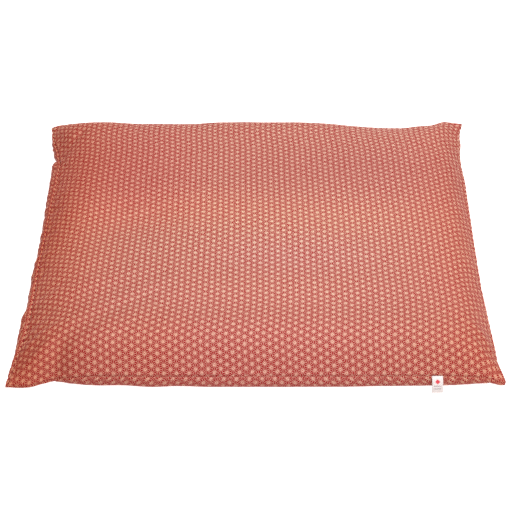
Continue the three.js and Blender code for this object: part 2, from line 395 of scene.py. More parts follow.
@dataclass(frozen=True)
class PrintedCotton:
    """Plain-weave cotton with a pale print on a red ground.

    Args:
        ground: The red ground colour.
        pale: The print.
        layout: The print's repeat.
        thread: Millimetres from one thread to the next.
        slub: The scale and detail of the yarn's uneven places.
        shade: What the ground's colour is multiplied by where the yarn is thick.
        shade_edge: The unevenness where that starts and ends.
        ink: The print's share on the thinnest yarn, and what the unevenness adds to it.
        lumps: The thick places' height, in threads.
        relief: The bump's strength and its depth in millimetres.
        roughness: The cloth's mean roughness.
        roughness_change: How far it changes with the yarn.
        specular: The strength of its gloss.
        painted_light_patches: Ovals of painted shade and light: darker at the sides and near slope,
            lighter and paler across the middle, where lamps and gloss brighten it.
    """

    ground: Colour = tint("9D191F")
    pale: Colour = tint("F1DEC4")
    layout: HempLeafPrint = HempLeafPrint()
    thread: float = 0.42
    slub: Pair = (0.9, 2.0)
    shade: float = 0.84
    shade_edge: Pair = (0.35, 0.7)
    ink: Pair = (0.85, 0.3)
    lumps: float = 0.6
    relief: Pair = (0.5, 0.06)
    roughness: float = 0.62
    roughness_change: float = 0.1
    specular: float = 0.25
    # Painted shade and light: each oval multiplies the cloth's colour by its tone.
    painted_light_patches: tuple[PaintedLightPatch, ...] = (
        PaintedLightPatch(-0.43, 0.0, 0.26, 0.90, (1.04, 0.75, 0.56)),
        PaintedLightPatch(-0.34, 0.19, 0.20, 0.24, (0.93, 0.80, 0.80)),
        PaintedLightPatch(-0.40, 0.0, 0.10, 0.22, (0.88, 0.68, 0.62)),
        PaintedLightPatch(-0.40, -0.37, 0.24, 0.20, (0.90, 0.78, 0.68)),
        PaintedLightPatch(0.44, -0.10, 0.24, 0.75, (1.04, 0.81, 0.71)),
        PaintedLightPatch(-0.14, 0.035, 0.26, 0.10, (1.10, 1.09, 1.03)),
        PaintedLightPatch(0.16, 0.01, 0.28, 0.08, (1.05, 1.06, 1.02)),
        PaintedLightPatch(0.02, -0.06, 0.50, 0.20, (1.05, 1.18, 1.14)),
        PaintedLightPatch(0.06, -0.11, 0.22, 0.09, (1.0, 1.0, 1.10)),
        PaintedLightPatch(0.02, -0.22, 0.36, 0.07, (1.06, 1.10, 1.11)),
        PaintedLightPatch(0.22, 0.16, 0.34, 0.12, (0.94, 0.88, 0.91)),
        PaintedLightPatch(-0.05, -0.37, 0.70, 0.12, (0.99, 0.86, 0.89)),
        PaintedLightPatch(0.33, -0.36, 0.26, 0.18, (0.95, 0.91, 0.84)),
        PaintedLightPatch(-0.18, -0.34, 0.12, 0.14, (0.99, 0.93, 0.85)),
        PaintedLightPatch(-0.20, 0.16, 0.16, 0.26, (1.0, 0.85, 0.87)),
    )

    def material(self) -> bpy.types.Material:
        """Makes the cotton's material.

        Returns:
            The material, which reads the cloth map, and Object coordinates for the patches.
        """
        loom = Loom("printed_cotton")
        scale = {0: loom.cloth(), "Scale": 1 / MM}
        millimetres = loom.node("ShaderNodeVectorMath", {"operation": "SCALE"}, scale)
        u, v = loom.parts(millimetres)
        lines = self.layout.cover(u, v)
        sockets = {"Vector": millimetres, "Scale": self.slub[0], "Detail": self.slub[1]}
        slub = loom.node("ShaderNodeTexNoise", {"noise_dimensions": "2D"}, sockets)
        lines = lines * (slub * self.ink[1] + self.ink[0])
        deep = tuple(self.shade * part for part in self.ground)
        dyed = loom.mix(self.ground, deep, slub.step(*self.shade_edge))
        colour = loom.mix(dyed, self.pale, lines)
        x, y = loom.parts(loom.node("ShaderNodeTexCoord", {}, {}, "Object"))
        # Paints the ovals' shade and light into the colour.
        for patch in self.painted_light_patches:
            colour = patch.paint_light_and_shade(loom, colour, x, y)
        weave = self.weave(u, v) + slub * self.lumps
        return loom.shader(
            Normal=loom.bump(weave, *self.relief),
            Base_Color=colour,
            Roughness=slub * self.roughness_change + (self.roughness - self.roughness_change / 2),
            Specular_IOR_Level=self.specular,
        )

    def weave(self, u: Signal, v: Signal) -> Signal:
        """The height of a plain weave's threads, from 0 to 1."""
        wave = math.pi / self.thread
        return (u * wave).call("SINE") * (v * wave).call("SINE") * 0.5 + 0.5


@dataclass(frozen=True)
class SatinTape:
    """Smooth woven tape with a plain red lozenge and two grey bands, and no word or mark.

    Places and sizes are shares of the tape's width, or of the length of its front.

    Args:
        white: The tape's own colour.
        red: The lozenge's colour.
        grey: The bands' colour.
        lozenge: The place of the lozenge's middle.
        slopes: One over its half width and its half height.
        lozenge_edge: Where its soft edge starts and ends, as shares of its size.
        bands: The places of the bands.
        band_half: Half a band's height.
        band_edge: Where its soft edge starts and ends, as shares of that.
        band_end: Where the bands end, to each side of the tape's middle.
        ink: How much of the grey covers.
        ribs: How many ribs the weave has across and down.
        relief: The bump's strength and its depth in millimetres.
        roughness: The roughness, and what the ribs add to it.
        sheen: The strength of the sheen.
    """

    white: Colour = tint("E4E9EA")
    red: Colour = tint("D8354A")
    grey: Colour = tint("8E8A92")
    lozenge: float = 0.35
    slopes: Pair = (4.2, 6.6)
    lozenge_edge: Pair = (0.92, 1.0)
    bands: Pair = (0.6, 0.77)
    band_half: float = 0.02
    band_edge: Pair = (0.8, 1.2)
    band_end: Pair = (0.33, 0.35)
    ink: float = 0.9
    ribs: Pair = (60.0, 90.0)
    relief: Pair = (0.35, 0.04)
    roughness: Pair = (0.42, 0.03)
    sheen: float = 0.1

    def material(self) -> bpy.types.Material:
        """Makes the tape's material.

        Returns:
            The material, whose map runs from 0 to 1 across and down the front.
        """
        loom = Loom("satin_tape")
        u, v = loom.parts(loom.cloth())
        away = (u - 0.5).call("ABSOLUTE")
        inside = 1 - away.step(*self.band_end)
        off = away * self.slopes[0] + (v - self.lozenge).call("ABSOLUTE") * self.slopes[1]
        red = 1 - off.step(*self.lozenge_edge)
        grey = (self.band(v, self.bands[0]) + self.band(v, self.bands[1])) * inside
        colour = loom.mix(self.white, self.red, red)
        colour = loom.mix(colour, self.grey, grey * self.ink)
        ribs = u.wave(self.ribs[0]) * 0.5 + v.wave(self.ribs[1])
        return loom.shader(
            Normal=loom.bump(ribs, *self.relief),
            Base_Color=colour,
            Roughness=ribs * self.roughness[1] + self.roughness[0],
            Sheen_Weight=self.sheen,
        )

    def band(self, v: Signal, middle: float) -> Signal:
        """A band across the tape at a share of its length."""
        edge = (self.band_half * share for share in self.band_edge)
        return 1 - (v - middle).call("ABSOLUTE").step(*edge)


@dataclass(frozen=True)
class SewingThread:
    """Matt cotton thread, dyed to the ground.

    Args:
        colour: The thread's colour.
        shade: What it is multiplied by in the hollows of its fibres.
        fibre: The scale and detail of the fibres.
        relief: The bump's strength and its depth in millimetres.
        roughness: The thread's roughness.
    """

    colour: Colour = tint("771E20")
    shade: float = 0.7
    fibre: Pair = (2600.0, 1.0)
    relief: Pair = (0.4, 0.05)
    roughness: float = 0.75

    def material(self) -> bpy.types.Material:
        """Makes the thread's material.

        Returns:
            The material, with its fibres as a fine relief.
        """
        loom = Loom("sewing_thread")
        place = loom.node("ShaderNodeTexCoord", {}, {}, "Object")
        sockets = {"Vector": place, "Scale": self.fibre[0], "Detail": self.fibre[1]}
        noise = loom.node("ShaderNodeTexNoise", {}, sockets)
        deep = tuple(self.shade * part for part in self.colour)
        colour = loom.mix(self.colour, deep, noise)
        relief = loom.bump(noise, *self.relief)
        return loom.shader(Base_Color=colour, Roughness=self.roughness, Normal=relief)


# The seam


@dataclass(frozen=True)
class Corner:
    """A corner of the seam, in millimetres."""

    x: float
    y: float
    up: float

    def point(self) -> np.ndarray:
        """The corner's place."""
        return np.array([self.x, self.y, self.up])


@dataclass(frozen=True)
class Side:
    """A side of the seam: its two corners, the direction into the cushion, and its measures.

    Each row is a place along the side: at, its distance from the left or near corner; inset, how
    far the seam is drawn in; up, its height; belly, how far the lower panel stands out past it;
    and tuck, the distance from it back to where the cushion rests.
    """

    start: Corner
    end: Corner
    inward: Pair
    rows: tuple[tuple[float, float, float, float, float], ...]

    def measures(self, share: np.ndarray) -> np.ndarray:
        """Reads the rows' measures off smooth curves through them.

        Args:
            share: Places along the side, from 0 to 1.

        Returns:
            The inset, up, belly and tuck at each place.
        """
        rows = np.array(self.rows, float)
        at = rows[:, 0]
        place = np.clip(share * at[-1], 0.0, at[-1])
        low = np.clip(np.searchsorted(at, place, side="left") - 1, 0, len(at) - 2)
        number = np.arange(len(at))
        before, after = np.maximum(number - 1, 0), np.minimum(number + 1, len(at) - 1)
        slopes = (rows[after, 1:] - rows[before, 1:]) / (at[after] - at[before])[:, None]
        span = (at[low + 1] - at[low])[..., None]
        t = ((place - at[low])[..., None]) / span
        start, end = rows[low, 1:], rows[low + 1, 1:]
        curve = start + (end - start) * t * t * (3 - 2 * t)
        curve = curve + slopes[low] * span * t * (1 - t) ** 2
        return curve + slopes[low + 1] * span * t * t * (t - 1)

    def seam(self, share: np.ndarray) -> np.ndarray:
        """Finds the seam.

        Args:
            share: Places along the side, from 0 to 1.

        Returns:
            The seam's point at each place.
        """
        inset, up = np.moveaxis(self.measures(share)[..., :2], -1, 0)
        x = self.start.x + (self.end.x - self.start.x) * share + self.inward[0] * inset
        y = self.start.y + (self.end.y - self.start.y) * share + self.inward[1] * inset
        return np.stack([x, y, up], axis=-1)


NEAR_LEFT = Corner(-399.6, -370, 9)
NEAR_RIGHT = Corner(398.6, -368, 13.4)
FAR_LEFT = Corner(-395, 383, 23)
FAR_RIGHT = Corner(398, 369, 39.5)

NEAR = Side(
    NEAR_LEFT,
    NEAR_RIGHT,
    (0, 1),
    (
        (0, 0, 9, 0, 46),
        (32, -1.6, 9, 0, 44),
        (54, 4.4, 11, 0, 40),
        (77, 11.4, 14, 0, 34),
        (102, 6, 21, 1, 27),
        (137, 3, 26.5, 3, 22),
        (183, 2.5, 27, 2.6, 22),
        (231, 1.5, 27, 5.4, 19),
        (272, 2, 27, 4, 20),
        (322, 2, 27, 6, 18),
        (472, 2, 27, 6.4, 18),
        (569, 2, 27, 6.2, 18),
        (607, 2, 27, 5, 19),
        (692, 2, 27, 3.6, 20),
        (742, 3, 24.5, 2, 26),
        (772, 4, 19.5, 0, 34),
        (789, -0.6, 14.8, 0, 42),
        (798, 0, 13.4, 0, 46),
    ),
)
FAR = Side(
    FAR_LEFT,
    FAR_RIGHT,
    (0, -1),
    (
        (0, 0, 23, 0, 46),
        (26, 0, 26, 0, 40),
        (60, 3, 28, 1, 28),
        (150, 5, 27, 2, 22),
        (400, 3, 27, 2, 20),
        (560, 2, 26, 2, 20),
        (640, 9, 25, 2, 22),
        (700, 5, 30, 1, 26),
        (733, 3, 32, 0, 32),
        (756, -3, 40, 0, 38),
        (776, -1.5, 40, 0, 42),
        (793, 0, 39.5, 0, 46),
    ),
)
LEFT = Side(
    NEAR_LEFT,
    FAR_LEFT,
    (1, 0),
    (
        (0, 0, 9, 0, 46),
        (30, 6, 16, 3, 40),
        (72, 15, 26, 9, 28),
        (130, 22, 31, 16, 22),
        (168, 23, 32, 17, 22),
        (192, 23, 32, 12, 22),
        (272, 23, 32, 13, 22),
        (330, 24, 31, 11, 22),
        (400, 25, 31, 12, 22),
        (480, 26, 31, 14, 22),
        (570, 28, 30, 18, 22),
        (614, 28, 28, 17, 24),
        (636, 24, 22, 8, 28),
        (664, 18, 23, 8, 30),
        (704, 7, 23, 4, 36),
        (753, 0, 23, 0, 46),
    ),
)
RIGHT = Side(
    NEAR_RIGHT,
    FAR_RIGHT,
    (-1, 0),
    (
        (0, 0, 13.4, 0, 46),
        (6, -1.4, 14.2, 0, 44),
        (20, 1.8, 17, 0, 40),
        (45, 8.8, 22.5, 0, 32),
        (68, 9.8, 25, 1, 27),
        (128, 12.8, 28, 2, 22),
        (238, 16, 28, 2, 20),
        (368, 15.2, 28, 2, 20),
        (468, 13.4, 28, 2, 20),
        (548, 12.6, 28, 2, 20),
        (612, 13.8, 29, 1, 22),
        (650, 12.8, 30, 1, 26),
        (680, 8.5, 32, 0, 32),
        (708, 6.6, 35.5, 0, 38),
        (736, 0, 39.5, 0, 46),
    ),
)


# The cover's forms


@dataclass(frozen=True)
class Fold:
    """A soft ridge of the upper panel between two places, or a trough if its height is below 0."""

    x1: float
    y1: float
    x2: float
    y2: float
    width: float
    height: float

    def lift(self, x: np.ndarray, y: np.ndarray) -> np.ndarray:
        """Raises the panel along the fold.

        Args:
            x: Places to the right, in millimetres.
            y: Places away from the label.

        Returns:
            What the fold adds to the height at each place.
        """
        dx, dy = self.x2 - self.x1, self.y2 - self.y1
        along = ((x - self.x1) * dx + (y - self.y1) * dy) / (dx * dx + dy * dy)
        along = np.clip(along, 0.0, 1.0)
        away = np.hypot(x - self.x1 - along * dx, y - self.y1 - along * dy)
        return self.height * np.exp(-((away / self.width) ** 2))


@dataclass(frozen=True)
class Pucker:
    """A gather that runs in from the seam, in the flat cloth's millimetres, on both panels.

    Args:
        u: Where it starts, across the panel.
        v: Where it starts, along the panel.
        lean_u: The part of its direction that runs across.
        lean_v: The part that runs along.
        reach: Its length.
        width: Its width.
        height: Its height, below 0 for a trough.
        rise: The shares of its length where it starts to rise and is at its height.
        fall: The shares where it starts to fall and is gone.
        spread: Its width at its start, as a share of the mean, and what its length adds.
    """

    u: float
    v: float
    lean_u: float
    lean_v: float
    reach: float
    width: float
    height: float
    rise: Pair = (-0.15, 0.2)
    fall: Pair = (0.35, 1.0)
    spread: Pair = (0.7, 0.6)

    def lift(self, u: np.ndarray, v: np.ndarray) -> np.ndarray:
        """Raises the cloth along the gather.

        Args:
            u: Places across the panel.
            v: Places along the panel.

        Returns:
            What the gather adds along the cloth's normal at each place.
        """
        along = (u - self.u) * self.lean_u + (v - self.v) * self.lean_v
        across = (u - self.u) * self.lean_v - (v - self.v) * self.lean_u
        share = np.clip(along / self.reach, 0.0, 1.0)
        fade = ease(share, *self.rise) * (1 - ease(share, *self.fall))
        width = self.width * (self.spread[0] + self.spread[1] * share)
        return self.height * fade * np.exp(-((across / width) ** 2))


@dataclass(frozen=True)
class Gathers:
    """The gathers all round the seam, a ridge and a trough by turns.

    Ranges are the least and the most of what is drawn, in millimetres.

    Args:
        seed: What their places and sizes are drawn from.
        first: The range of the first one's distance from its side's start.
        apart: The range of the distance from one to the next.
        end: How near to its side's end the last one may lie.
        slant: The spread of their slants, in radians.
        reach: The range of their lengths.
        width: The range of their widths.
        share: The range of their heights, as shares of their side's.
        ridge: A ridge's height as a share of a trough's depth.
        heights: The greatest height on the near, right, far and left side.
        beyond: How far past its length a gather is still worked out.
    """

    seed: int = 7
    first: Pair = (10.0, 24.0)
    apart: Pair = (6.0, 17.0)
    end: float = 8.0
    slant: float = 0.22
    reach: Pair = (14.0, 46.0)
    width: Pair = (2.6, 5.5)
    share: Pair = (0.25, 1.0)
    ridge: float = 0.6
    heights: tuple[float, float, float, float] = (0.75, 0.85, 0.9, 2.4)
    beyond: float = 20.0

    def draw(self, panel: Pair) -> list[Pucker]:
        """Draws the gathers, side by side.

        Args:
            panel: The flat panel's width and depth.

        Returns:
            The gathers.
        """
        draw = np.random.default_rng(self.seed)
        wide, deep = panel
        made = []
        sides = (
            (wide, (0.0, 0.0), (1.0, 0.0), (0.0, 1.0)),
            (deep, (wide, 0.0), (0.0, 1.0), (-1.0, 0.0)),
            (wide, (0.0, deep), (1.0, 0.0), (0.0, -1.0)),
            (deep, (0.0, 0.0), (0.0, 1.0), (1.0, 0.0)),
        )
        for (length, start, way, inward), tallest in zip(sides, self.heights):
            at, sign = draw.uniform(*self.first), 1.0
            while at < length - self.end:
                lean = draw.normal(0.0, self.slant)
                cos, sin = math.cos(lean), math.sin(lean)
                du, dv = inward[0] * cos - inward[1] * sin, inward[0] * sin + inward[1] * cos
                height = sign * tallest * draw.uniform(*self.share)
                height *= 1.0 if sign < 0 else self.ridge
                reach, width = draw.uniform(*self.reach), draw.uniform(*self.width)
                u, v = start[0] + way[0] * at, start[1] + way[1] * at
                made.append(Pucker(u, v, du, dv, reach, width, height))
                at += draw.uniform(*self.apart)
                sign = -sign
        return made

    def lift(self, u: np.ndarray, v: np.ndarray, panel: Pair) -> np.ndarray:
        """Raises the cloth along all the gathers.

        Args:
            u: Places across the panel.
            v: Places along the panel.
            panel: The flat panel's width and depth.

        Returns:
            What they add along the cloth's normal at each place.
        """
        lift = np.zeros(len(u))
        for pucker in self.draw(panel):
            near = np.hypot(u - pucker.u, v - pucker.v) < pucker.reach + self.beyond
            lift[near] += pucker.lift(u[near], v[near])
        return lift


@dataclass(frozen=True)
class Waves:
    """The cloth's soft unevenness: waves of many lengths and directions on top of each other.

    Args:
        seed: What they are drawn from.
        count: How many there are.
        length: The least and the greatest length, in millimetres.
        height: A wave's height, as a share of its length.
        inner: Their share in the upper panel's middle.
        outer: What is added to that beside the seam.
        margin: The distances from the seam where that starts to fade and is gone.
        below: Their share on the lower panel.
    """

    seed: int = 8
    count: int = 26
    length: Pair = (45.0, 170.0)
    height: float = 0.0012
    inner: float = 0.45
    outer: float = 0.55
    margin: Pair = (4.0, 60.0)
    below: float = 0.6

    def lift(self, flat: np.ndarray, depth: np.ndarray, upper: np.ndarray) -> np.ndarray:
        """Raises and lowers the cloth.

        Args:
            flat: Places on the flat panel.
            depth: Their distances from the seam.
            upper: Whether they are on the upper panel.

        Returns:
            What the waves add along the cloth's normal at each place.
        """
        draw = np.random.default_rng(self.seed)
        waves = np.zeros(len(flat))
        for _ in range(self.count):
            length, angle, phase = (
                draw.uniform(*limits) for limits in (self.length, (0, math.pi), (0, TURN))
            )
            run = (flat[:, 0] * math.cos(angle) + flat[:, 1] * math.sin(angle)) * (TURN / length)
            waves += np.sin(run + phase) * length * self.height
        fade = 1 - ease(depth, *self.margin)
        return waves * np.where(upper, self.inner + self.outer * fade, self.below)


@dataclass(frozen=True)
class SeamLine:
    """The sewn line's own relief: a groove that the stitches pull in, and a lip on each side.

    Args:
        groove: How deep the groove is, in millimetres as the next ones are.
        width: How wide it is.
        change: How far its depth changes along the seam, as a share.
        pitch: The distance from one deep place to the next.
        firm: What the change is multiplied by on the far and right sides.
        lip: How high the lips are.
        lip_at: How far they lie from the seam.
        lip_width: How wide they are.
        slack: How much larger all this is at the near end of the left side, as a share.
        slack_end: The places along that side where the slack starts to fade and is gone.
    """

    groove: float = 1.6
    width: float = 1.1
    change: float = 0.45
    pitch: float = 10.0
    firm: float = 0.5
    lip: float = 0.7
    lip_at: float = 3.4
    lip_width: float = 2.2
    slack: float = 0.7
    slack_end: Pair = (200.0, 320.0)

    def lift(self, flat: np.ndarray, depth: np.ndarray, panel: Pair) -> np.ndarray:
        """Draws the cloth in at the seam.

        Args:
            flat: Places on the flat panel.
            depth: Their distances from the seam.
            panel: The flat panel's width and depth.

        Returns:
            What the groove and the lips add along the cloth's normal at each place.
        """
        u, v = flat[:, 0], flat[:, 1]
        along = np.where(np.minimum(v, panel[1] - v) < np.minimum(u, panel[0] - u), u, v)
        on_left = np.isclose(depth, u)
        change = np.where(on_left | np.isclose(depth, v), 1.0, self.firm) * self.change
        drawn = self.groove * (1 + change * np.sin(along * (TURN / self.pitch)))
        loose = 1 + self.slack * on_left * (1 - ease(v, *self.slack_end))
        seam = -drawn * loose * np.exp(-((depth / (self.width * loose)) ** 2))
        seam += self.lip * loose * np.exp(-(((depth - self.lip_at * loose) / self.lip_width) ** 2))
        return seam


@dataclass(frozen=True)
class Drift:
    """How far the weave has slipped on the filling, in millimetres for half the cushion's size.

    Args:
        half: Half the width and half the depth that the other measures belong to.
        shift: The slip of the middle, to the right and away from the label.
        sway: The columns' sideways bend: what each power of the distance along them adds.
        widening: How much wider apart the columns lie.
        turn: How far the rows come down towards the right.
        bow: How far they come down on both sides.
        twist: How much more they do so on the far side.
        lean: How much more they turn on the far side.
    """

    half: Pair = (400.0, 380.0)
    shift: Pair = (-2.5, 3.0)
    sway: tuple[float, float, float, float] = (8.6, 15.1, -12.8, -20.2)
    widening: float = 1.7
    turn: float = 14.0
    bow: float = 17.5
    twist: float = 9.0
    lean: float = 2.5

    def lay(self, u: np.ndarray, v: np.ndarray) -> np.ndarray:
        """Lays the print.

        Args:
            u: Places across, measured along the cloth from the cushion's middle.
            v: Places along, measured in the same way.

        Returns:
            The print's own place under each one.
        """
        x, y = u / self.half[0], v / self.half[1]
        across = self.shift[0] - self.widening * x
        across = across + sum(size * y ** (n + 1) for n, size in enumerate(self.sway))
        along = self.shift[1] - self.turn * x - self.bow * x**2 - self.twist * x**2 * y
        along = along - self.lean * x * y
        return np.stack([u + across, v + along], axis=-1)


@dataclass
class Surface:
    """A mesh on its way: points in millimetres, faces, and what each one knows of its panel."""

    points: list[np.ndarray] = field(default_factory=list)
    flat: list[np.ndarray] = field(default_factory=list)
    print_at: list[np.ndarray] = field(default_factory=list)
    depth: list[np.ndarray] = field(default_factory=list)
    faces: list[Face] = field(default_factory=list)
    panels: list[Panel] = field(default_factory=list)
    count: int = 0

    def add(
        self, points: np.ndarray, flat: np.ndarray, print_at: np.ndarray, depth: np.ndarray
    ) -> np.ndarray:
        """Adds points.

        Args:
            points: Their places.
            flat: Their places on the flat panel.
            print_at: Their places on the print.
            depth: Their distances from the seam.

        Returns:
            The new points' numbers, in the same shape.
        """
        size = points.shape[:-1]
        numbers = np.arange(self.count, self.count + int(np.prod(size))).reshape(size)
        self.points.append(points.reshape(-1, 3))
        self.flat.append(flat.reshape(-1, 2))
        self.print_at.append(print_at.reshape(-1, 2))
        self.depth.append(depth.reshape(-1))
        self.count += numbers.size
        return numbers

    def add_faces(self, panel: Panel, faces: Sequence[Face]) -> None:
        """Adds faces to a panel."""
        self.faces.extend(faces)
        self.panels.extend([panel] * len(faces))

    def add_quads(self, panel: Panel, *corners: np.ndarray) -> None:
        """Adds a face for each four corners."""
        rows = np.stack(corners, axis=-1).reshape(-1, 4).tolist()
        self.add_faces(panel, [tuple(row) for row in rows])


@dataclass(frozen=True)
class Filling:
    """The filling's push on the upper panel, from a short cloth simulation of its flat cut.

    Only the wrinkles are taken from it, since the drawn shape has the wide forms already.

    Args:
        skip: The simulated panel takes one point of the drawn one in this many, both ways.
        frames: How many frames it runs.
        pressure: The push outward.
        stiffness: How hard the cloth is to stretch.
        bending: How hard it is to bend.
        widest: Wider forms than this many of its cells are left out.
        cap: About the furthest that a point may move, in millimetres.
        smooth: How far the wrinkles are smoothed, in cells of the drawn panel.
        margin: The distances from the seam where the wrinkles start and are at their height.
    """

    skip: int = 2
    frames: int = 20
    pressure: float = 4.0
    stiffness: float = 15.0
    bending: float = 0.5
    widest: float = 2.2
    cap: float = 1.3
    smooth: float = 1.0
    margin: Pair = (3.0, 16.0)

    def wrinkles(self, points: np.ndarray, flat: np.ndarray) -> np.ndarray:
        """Finds the wrinkles' height over the drawn panel.

        Args:
            points: The panel's grid of points, in millimetres.
            flat: Their places on the flat cut.
        """
        drawn = points[:: self.skip, :: self.skip]
        moved = self.swell(drawn, flat[:: self.skip, :: self.skip]) - drawn
        outward = np.cross(np.gradient(drawn, axis=1), np.gradient(drawn, axis=0))
        outward /= np.linalg.norm(outward, axis=-1, keepdims=True)
        rise = (moved * outward).sum(axis=-1)
        rise -= self.blur(rise, self.widest)
        for axis in (1, 0):
            rise -= np.median(rise, axis=axis, keepdims=True)
        rise = self.cap * np.tanh(rise / self.cap)
        for axis in (0, 1):
            fine = np.arange(points.shape[axis]) / self.skip
            coarse = np.arange(rise.shape[axis])
            rise = np.apply_along_axis(lambda line: np.interp(fine, coarse, line), axis, rise)
        return self.blur(rise, self.smooth)

    def blur(self, grid: np.ndarray, spread: float) -> np.ndarray:
        """Averages each height of a grid with those around it.

        Args:
            grid: The heights.
            spread: How far the average reaches, in cells.

        Returns:
            The smoothed heights.
        """
        reach = int(3 * spread) + 1
        weights = np.exp(-((np.arange(-reach, reach + 1) / spread) ** 2) / 2)
        weights /= weights.sum()
        for axis in (0, 1):
            ends = [(reach, reach) if n == axis else (0, 0) for n in (0, 1)]
            padded = np.pad(grid, ends, mode="edge")
            grid = np.apply_along_axis(np.convolve, axis, padded, weights, "valid")
        return grid

    def swell(self, drawn: np.ndarray, cut: np.ndarray) -> np.ndarray:
        """Pushes the panel out from below, while its seam holds it.

        Args:
            drawn: The grid of points that it starts from, in millimetres.
            cut: Their places on the flat cut, whose size the cloth tries to keep.

        Returns:
            Where the points are after the last frame.
        """
        rows, columns = drawn.shape[:2]
        number = np.arange(rows * columns).reshape(rows, columns)
        corners = (number[:-1, :-1], number[:-1, 1:], number[1:, 1:], number[1:, :-1])
        faces = np.stack(corners, axis=-1).reshape(-1, 4).tolist()
        mesh = shape("panel", drawn.reshape(-1, 3), faces)
        panel = put("panel", mesh)
        seam = panel.vertex_groups.new(name="seam")
        rim = np.unique(np.concatenate([number[0], number[-1], number[:, 0], number[:, -1]]))
        seam.add(rim.tolist(), 1.0, "REPLACE")
        panel.shape_key_add(name="drawn")
        lying = panel.shape_key_add(name="flat cut")
        level = np.zeros((rows * columns, 3), np.float32)
        level[:, :2] = cut.reshape(-1, 2) * MM
        lying.data.foreach_set("co", level.ravel())
        self.set_cloth(panel.modifiers.new("cloth", "CLOTH"), seam, lying)
        for frame_number in range(1, self.frames + 1):
            bpy.context.scene.frame_set(frame_number)
        places = np.zeros(rows * columns * 3, np.float32)
        swollen = panel.evaluated_get(bpy.context.evaluated_depsgraph_get())
        swollen.data.vertices.foreach_get("co", places)
        bpy.data.objects.remove(panel)
        bpy.data.meshes.remove(mesh)
        bpy.context.scene.frame_set(1)
        return places.reshape(rows, columns, 3) / MM

    def set_cloth(
        self, cloth: bpy.types.ClothModifier, seam: bpy.types.VertexGroup, cut: bpy.types.ShapeKey
    ) -> None:
        """Sets the simulation up.

        Args:
            cloth: The panel's cloth modifier.
            seam: The points that are held.
            cut: The shape that the cloth has at rest.
        """
        cloth.settings.vertex_group_mass = seam.name
        cloth.settings.rest_shape_key = cut
        cloth.settings.tension_stiffness = cloth.settings.compression_stiffness = self.stiffness
        cloth.settings.bending_stiffness = self.bending
        cloth.settings.use_pressure = True
        cloth.settings.uniform_pressure_force = self.pressure
        cloth.settings.effector_weights.gravity = 0.0
        cloth.collision_settings.use_collision = False
        cloth.point_cache.frame_start, cloth.point_cache.frame_end = 1, self.frames


# The pieces


